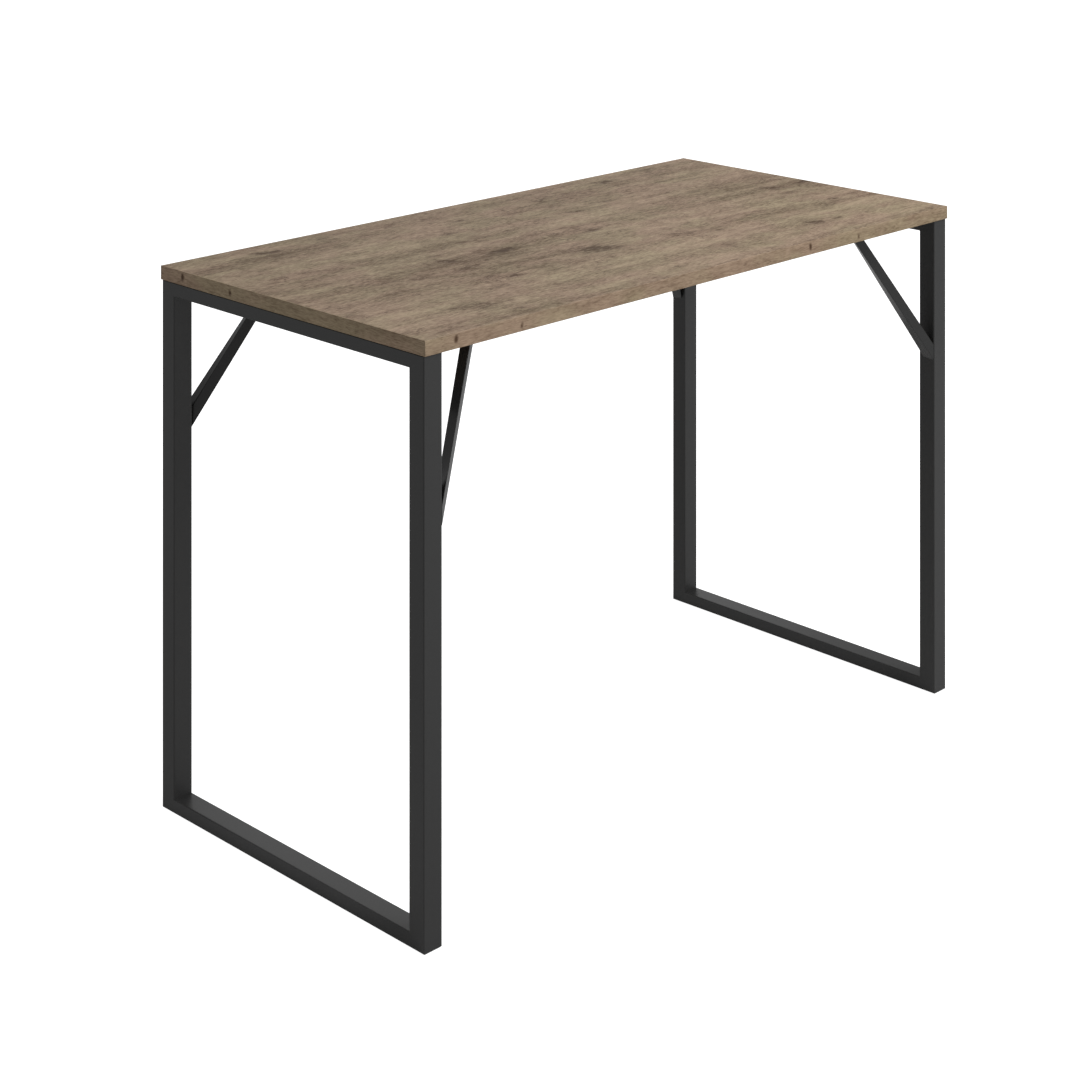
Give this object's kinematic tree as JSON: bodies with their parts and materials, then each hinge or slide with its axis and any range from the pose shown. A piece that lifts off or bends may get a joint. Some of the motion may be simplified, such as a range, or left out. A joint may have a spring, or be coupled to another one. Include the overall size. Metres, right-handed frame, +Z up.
{
  "type": "desk",
  "caption": "Rectangular desk with a wood-decor board on two steel loop frames, each leg braced to the board by a slanted strut.",
  "frame": {"origin": "on the floor, under the middle of the board", "axes": "+Z up, X along the board's length, -Y towards the user's side"},
  "size_m": [1.1, 0.55, 0.7568],
  "materials": {
    "board_decor": "matt aged-oak melamine decor on particleboard",
    "edge_band": "matt oak-decor edge band",
    "frame_coating": "charcoal satin powder coat on steel tube",
    "fastener": "zinc plated",
    "glide": "black moulded polyethylene"
  },
  "bodies": {
    "root": {"board_panel": "board_decor", "edge_band_back": "edge_band", "edge_band_front": "edge_band", "edge_band_left": "edge_band", "edge_band_right": "edge_band", "frame_bolt_left_1": "fastener", "frame_bolt_left_2": "fastener", "frame_bolt_left_3": "fastener", "frame_bolt_right_1": "fastener", "frame_bolt_right_2": "fastener", "frame_bolt_right_3": "fastener", "glide_back_left": "glide", "glide_back_right": "glide", "glide_front_left": "glide", "glide_front_right": "glide", "leg_back_left": "frame_coating", "leg_back_right": "frame_coating", "leg_front_left": "frame_coating", "leg_front_right": "frame_coating", "plate_screw_back_left_1": "fastener", "plate_screw_back_left_2": "fastener", "plate_screw_back_right_1": "fastener", "plate_screw_back_right_2": "fastener", "plate_screw_front_left_1": "fastener", "plate_screw_front_left_2": "fastener", "plate_screw_front_right_1": "fastener", "plate_screw_front_right_2": "fastener", "rail_bottom_left": "frame_coating", "rail_bottom_right": "frame_coating", "rail_top_left": "frame_coating", "rail_top_right": "frame_coating", "strut_back_left": "frame_coating", "strut_back_right": "frame_coating", "strut_front_left": "frame_coating", "strut_front_right": "frame_coating", "strut_plate_back_left": "frame_coating", "strut_plate_back_right": "frame_coating", "strut_plate_front_left": "frame_coating", "strut_plate_front_right": "frame_coating", "threaded_insert_left_1": "fastener", "threaded_insert_left_2": "fastener", "threaded_insert_left_3": "fastener", "threaded_insert_right_1": "fastener", "threaded_insert_right_2": "fastener", "threaded_insert_right_3": "fastener"}
  },
  "joints": []
}
